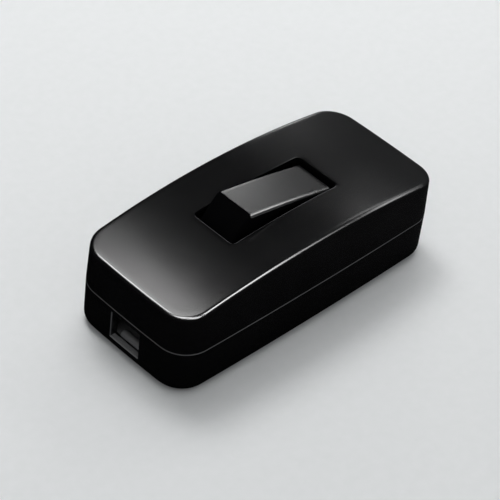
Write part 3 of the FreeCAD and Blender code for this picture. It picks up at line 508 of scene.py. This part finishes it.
# Plungers: natural white moulded pins, one per pole. Each slides in a bore of the rocker under a
# spring, and its round nose presses on a blade.


def dress(node, material):
    """Give a CAD node its finish."""
    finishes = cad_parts[node].data.materials
    finishes.clear()
    finishes.append(material)


# Natural plunger plastic: uncoloured and waxy, off-white with a soft gloss.
plunger_plastic = plastic("natural_white_plunger_plastic", "#d8d4c8", "#e4e0d5", 0.45, 0.55, 0.2, 0.1, 0.0)
for side in ("left", "right"):
    dress("plunger_" + side, plunger_plastic)


# Plunger springs: wound from drawn steel wire and closed at both ends. Each sits in the rocker's
# bore above a plunger, where the source has a plain sleeve.
coil_rad, wire_rad, coil_low, coil_high, turns = 1.15, 0.2, 1.2, 9.0, 9
turn_steps, wire_sides = 28, 10
pole_y, plunger_travel = 2.8, 0.6


def metal(name, dark, light, rough, scratch_mm, depth):
    """Bare or plated metal: a slight tone drift and fine drawn or tumbled marks in the gloss."""
    rough_drift, mark_high = 0.12, 0.00002
    made = bpy.data.materials.new(name)
    made.use_nodes = True
    tree = made.node_tree
    tree.nodes.clear()
    where = add(tree, "ShaderNodeTexCoord").outputs["Object"]
    marks = add(tree, "ShaderNodeTexNoise", {"Vector": where}, in_Scale=1000 / scratch_mm, in_Detail=4.0)
    tone = add(tree, "ShaderNodeValToRGB", {"Fac": marks.outputs["Fac"]})
    tone.color_ramp.elements[0].position, tone.color_ramp.elements[0].color = 0.3, linear(dark)
    tone.color_ramp.elements[1].position, tone.color_ramp.elements[1].color = 0.7, linear(light)
    gloss = add(
        tree, "ShaderNodeMapRange", {"Value": marks.outputs["Fac"]}, in_From_Min=0.3, in_From_Max=0.7,
        in_To_Min=rough, in_To_Max=rough + rough_drift,
    )
    bump = add(
        tree, "ShaderNodeBump", {"Height": marks.outputs["Fac"]}, in_Strength=depth, in_Distance=mark_high
    )
    skin = add(
        tree, "ShaderNodeBsdfPrincipled",
        {
            "Base Color": tone.outputs["Color"],
            "Roughness": gloss.outputs["Result"],
            "Normal": bump.outputs["Normal"],
        },
        in_Metallic=1.0,
    )
    add(tree, "ShaderNodeOutputMaterial", {"Surface": skin.outputs["BSDF"]})
    return made


# Drawn spring steel: grey and bright along the wire, with fine die marks.
spring_steel = metal("drawn_spring_steel", "#8a8a88", "#b4b4b0", 0.28, 0.3, 0.15)
for side, y in (("left", pole_y), ("right", -pole_y)):
    mesh = bmesh.new()
    rings = []
    steps = turns * turn_steps
    for i in range(steps + 1):
        f = i / steps
        a = 2 * math.pi * turns * f
        # The first and last turns lie flat, so the middle turns take up the pitch.
        rise = min(max((f * turns - 1) / (turns - 2), 0.0), 1.0)
        end = wire_rad * 2 * (min(f * turns, 1.0) + max(f * turns - turns + 1, 0.0))
        z = coil_low + wire_rad + end + (coil_high - coil_low - wire_rad * 6) * rise
        out = Vector((math.cos(a), math.sin(a), 0))
        ring = []
        for k in range(wire_sides):
            b = 2 * math.pi * k / wire_sides
            high = Vector((0, 0, z + wire_rad * math.sin(b)))
            ring.append(out * (coil_rad + wire_rad * math.cos(b)) + high)
        rings.append(ring)
    coil = loft(mesh, rings)
    mesh.faces.new(coil[0][::-1])
    mesh.faces.new(coil[-1])
    seat = Matrix.Translation((0, y, pivot_z)) @ Matrix.Rotation(tilt, 4, "Y")
    spring = finish_piece(
        mesh, "coil_" + side, "rocker", ["plunger_spring_" + side], [spring_steel], seat, sharp=60
    )
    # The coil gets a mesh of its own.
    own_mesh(spring)


# Terminals and blades: brass, the blocks drilled and the strips and blades stamped. The terminals
# sit in the base, and each blade rocks on the fulcrum of one of them.
# Stamped brass: warm yellow with a dull shine and small tumbling marks.
brass = metal("stamped_brass", "#a8842f", "#c9a44c", 0.25, 0.4, 0.2)
for side in ("left", "right"):
    for node in ("pivot_terminal_", "fixed_terminal_", "seesaw_"):
        dress(node + side, brass)


# Contact rivets: silver alloy buttons, one pair for each pole. They are headed into the blades and
# into the posts of the fixed terminals.
# Silver contact alloy: pale and bright, a little warmer than the steel.
silver = metal("silver_contact_alloy", "#bdbab2", "#dcd9d1", 0.2, 0.3, 0.1)
for side in ("left", "right"):
    for node in ("moving_contact_", "fixed_contact_"):
        dress(node + side, silver)


# Cord clamps: black moulded bars across the cord behind each window. Two screws hold each one down
# on the posts of the base.
# Matt clamp plastic: a little greyer than the case, with no shine.
clamp_plastic = plastic("matt_black_clamp_plastic", "#161617", "#1e1e1f", 0.5, 0.6, 0.2, 0.2, 0.0)
for node in ("cord_clamp_near", "cord_clamp_far"):
    dress(node, clamp_plastic)


# Screws: zinc plated steel with cross recesses, or slots on the terminals. They hold the wires, the
# cord clamps and, from below, the two halves of the case.
# Zinc plated steel: light grey with a slightly uneven shine.
zinc = metal("zinc_plated_steel", "#a9aaa6", "#c8c9c6", 0.3, 0.35, 0.15)
for node in ("terminal_screws", "clamp_screws", "case_screws"):
    dress(node, zinc)


# Studio: a plain pale floor and backdrop under soft lamps, in metres. The floor and the surround are
# pale to the camera and dark in reflections, so the gloss black sides stay as deep as on a light table.
floor_half, fibre_mm = 3, 2.5
floor_data = bpy.data.meshes.new("floor")
corners = [(-floor_half, -floor_half, 0), (floor_half, -floor_half, 0)]
corners += [(floor_half, floor_half, 0), (-floor_half, floor_half, 0)]
floor_data.from_pydata(corners, [], [(0, 1, 2, 3)])
floor = bpy.data.objects.new("floor", floor_data)
scene.collection.objects.link(floor)
# Pale paper: near white with a faint fibre. In reflections it is dark, and lighter out to the right.
paper = bpy.data.materials.new("pale_paper_floor")
paper.use_nodes = True
tree = paper.node_tree
tree.nodes.clear()
where = add(tree, "ShaderNodeTexCoord").outputs["Object"]
fibre = add(tree, "ShaderNodeTexNoise", {"Vector": where}, in_Scale=1000 / fibre_mm, in_Detail=3.0)
tone = add(tree, "ShaderNodeValToRGB", {"Fac": fibre.outputs["Fac"]})
tone.color_ramp.elements[0].color = linear("#e6e8e8")
tone.color_ramp.elements[1].color = linear("#ecedee")
seen = add(tree, "ShaderNodeBsdfDiffuse", {"Color": tone.outputs["Color"]})
slant = add(tree, "ShaderNodeVectorMath", {0: where}, in_1=(1, -2, 0), operation="DOT_PRODUCT")
fade = add(
    tree, "ShaderNodeMapRange", {"Value": slant.outputs["Value"]}, in_From_Min=-0.01, in_From_Max=0.105,
    in_To_Min=0.002, in_To_Max=0.026,
)
mirrored = add(tree, "ShaderNodeBsdfDiffuse", {"Color": fade.outputs["Result"]})
path = add(tree, "ShaderNodeLightPath")
both = add(
    tree, "ShaderNodeMixShader",
    {0: path.outputs["Is Glossy Ray"], 1: seen.outputs[0], 2: mirrored.outputs[0]},
)
add(tree, "ShaderNodeOutputMaterial", {"Surface": both.outputs[0]})
floor_data.materials.append(paper)

world = bpy.data.worlds.new("grey_surround")
world.use_nodes = True
tree = world.node_tree
tree.nodes.clear()
glow = add(tree, "ShaderNodeBackground", in_Color=linear("#f4f6f7"), in_Strength=0.4)
# In reflections the surround is dark but for a grey panel beyond the far end.
way = add(tree, "ShaderNodeSeparateXYZ", {"Vector": add(tree, "ShaderNodeTexCoord").outputs["Generated"]})
edge = add(
    tree, "ShaderNodeMapRange", {"Value": way.outputs["X"]}, in_From_Min=0.62, in_From_Max=0.76,
    in_To_Min=0.012, in_To_Max=0.13,
)
shade = add(
    tree, "ShaderNodeBackground", {"Strength": edge.outputs["Result"]}, in_Color=linear("#f4f6f7")
)
path = add(tree, "ShaderNodeLightPath")
both = add(
    tree, "ShaderNodeMixShader",
    {0: path.outputs["Is Glossy Ray"], 1: glow.outputs[0], 2: shade.outputs[0]},
)
# The camera sees a plain pale backdrop beyond the floor.
backdrop = add(tree, "ShaderNodeBackground", in_Color=linear("#eceeee"), in_Strength=1.0)
shown = add(
    tree, "ShaderNodeMixShader",
    {0: path.outputs["Is Camera Ray"], 1: both.outputs[0], 2: backdrop.outputs[0]},
)
add(tree, "ShaderNodeOutputWorld", {"Surface": shown.outputs[0]})
scene.world = world


def lamp(name, where, power, length, width, along=None, kind="lamp"):
    """A soft rectangular lamp aimed at the object, its length lying along a direction. A card shows
    only in the gloss, like a white panel beside the set, and a fill lights only matt surfaces."""
    data = bpy.data.lights.new(name, "AREA")
    data.shape = "RECTANGLE"
    data.size, data.size_y = length, width
    data.energy = power
    item = bpy.data.objects.new(name, data)
    scene.collection.objects.link(item)
    face = (Vector(where) - Vector((0, 0, 0.02))).normalized()
    side = Vector(along) if along else Vector((0, 0, 1)).cross(face)
    side = (side - face * side.dot(face)).normalized()
    turn = Matrix((side, face.cross(side), face)).transposed().to_4x4()
    item.matrix_world = Matrix.Translation(where) @ turn
    item.visible_diffuse = kind != "card"
    item.visible_glossy = kind != "fill"


# The lamps shade the roof and the rocker's top, the cards draw the light lines on the rounds, and the
# fill brings the floor and the dull faces to the level at which their colours are written.
lamp("overhead_softbox", (0.0484, 0.2276, 0.4806), 0.6, 0.167, 0.167)
lamp("low_back_lamp", (0.3111, 0.2639, 0.162), 0.09, 0.05, 0.05)
lamp("right_strip", (0.3441, 0.0858, 0.297), 0.13, 0.2, 0.05)
lamp("rocker_edge_card", (0.2575, -0.1185, 0.203), 0.2, 0.18, 0.04, (-0.013, -0.157, -0.082), "card")
lamp("front_card", (-0.055, 0.285, 0.49), 1.25, 0.2, 0.09, (1, 0, 0), "card")
lamp("high_corner_card", (-0.17, -0.01, 0.375), 2.6, 0.23, 0.18, (-0.06, -0.22, -0.03), "card")
lamp("low_corner_card", (-0.13, -0.25, 0.31), 2.8, 0.27, 0.18, (0.125, -0.2, -0.095), "card")
lamp("near_right_card", (0.089, -0.196, 0.3), 1.6, 0.17, 0.13, (0.45, 0.02, -0.12), "card")
lamp("right_card", (0.183, -0.226, 0.224), 0.19, 0.12, 0.06, (0.065, 0.088, 0.048), "card")
lamp("ceiling_fill", (0.2, 0.3, 0.75), 2.6, 0.6, 0.6, None, "fill")


# Camera: a long lens at the photo's angle, fitted to the outline and the parting line of the case.
# Its place is in metres.
azimuth, elevation, roll = math.radians(-49.2975), math.radians(41.4658), math.radians(7.7219)
stand, sensor_mm, lens_mm = (-0.26572, -0.22587, 0.31682), 36.0, 150.32
back = Vector(
    (math.sin(azimuth) * math.cos(elevation), -math.cos(azimuth) * math.cos(elevation), math.sin(elevation))
)
right = Vector((0, 0, 1)).cross(back).normalized()
up = back.cross(right)
axis_x = right * math.cos(roll) + up * math.sin(roll)
axis_y = up * math.cos(roll) - right * math.sin(roll)
lens = bpy.data.cameras.new("camera")
lens.sensor_width = sensor_mm
lens.lens = lens_mm
camera = bpy.data.objects.new("camera", lens)
scene.collection.objects.link(camera)
turn = Matrix((axis_x, axis_y, back)).transposed().to_4x4()
camera.matrix_world = Matrix.Translation(stand) @ turn
scene.camera = camera

scene.view_settings.view_transform = "Standard"
